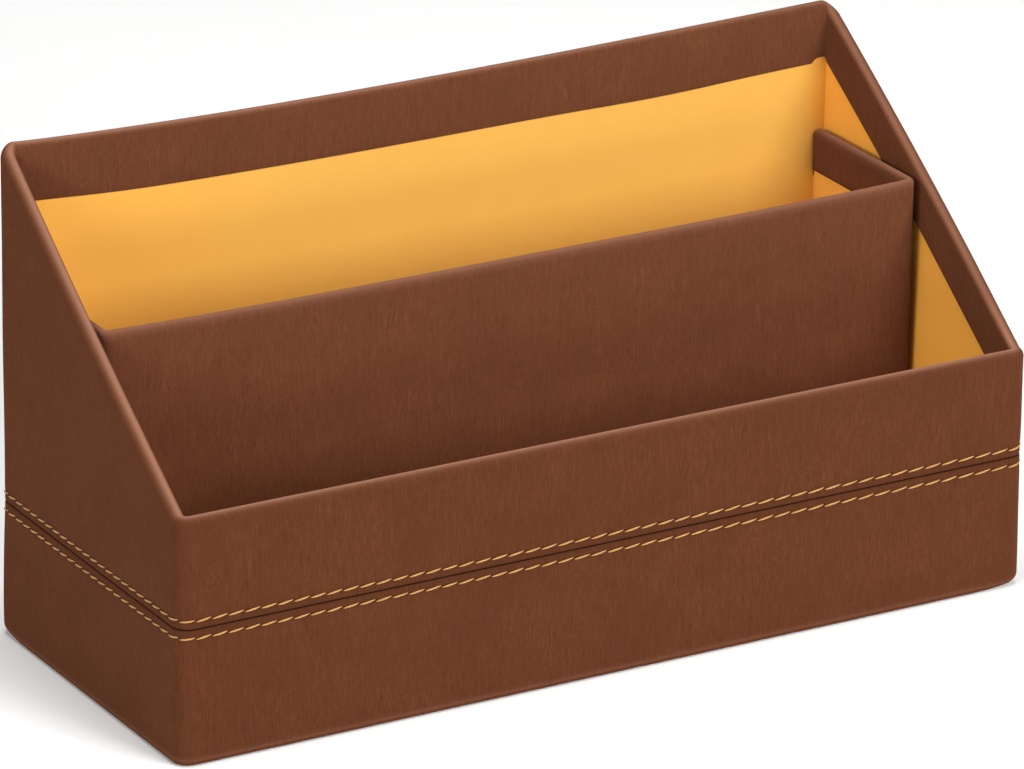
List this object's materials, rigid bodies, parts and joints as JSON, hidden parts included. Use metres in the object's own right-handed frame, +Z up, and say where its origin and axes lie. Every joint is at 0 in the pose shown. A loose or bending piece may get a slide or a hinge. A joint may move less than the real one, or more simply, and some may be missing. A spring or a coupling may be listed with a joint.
{
  "type": "mail organizer",
  "caption": "Open-topped leather-covered letter holder with sloping sides, a high back, a low front and a divider insert that makes a front and a rear compartment.",
  "frame": {"origin": "middle of the underside, on the surface that the box stands on", "axes": "+X along the width to the right as seen from the front, +Y to the high back wall, +Z up"},
  "size_m": [0.2406, 0.0976, 0.128],
  "materials": {
    "leatherette": "fine grained, satin, warm brown",
    "insert_leatherette": "fine grained, satin, warm brown",
    "greyboard": "matt, uncoated grey board",
    "lining_paper": "matt golden yellow paper",
    "base_paper": "matt dark brown paper",
    "tape": "matt dark brown kraft tape",
    "thread": "golden polyester sewing thread",
    "glue": "dried hot-melt glue"
  },
  "bodies": {
    "root": {"base_board": "greyboard", "front_board": "greyboard", "back_board": "greyboard", "left_side_board": "greyboard", "right_side_board": "greyboard", "divider_board": "greyboard", "left_wing_board": "greyboard", "right_wing_board": "greyboard", "seam_backing": "tape", "upper_cover": "leatherette", "lower_cover": "leatherette", "insert_cover": "insert_leatherette", "base_sheet": "base_paper", "floor_lining": "lining_paper", "front_lining": "lining_paper", "back_lining": "lining_paper", "left_lining": "lining_paper", "right_lining": "lining_paper", "divider_lining": "lining_paper", "left_wing_lining": "lining_paper", "right_wing_lining": "lining_paper", "wing_glue_pads": "glue", "upper_stitches": "thread", "lower_stitches": "thread"}
  },
  "joints": []
}
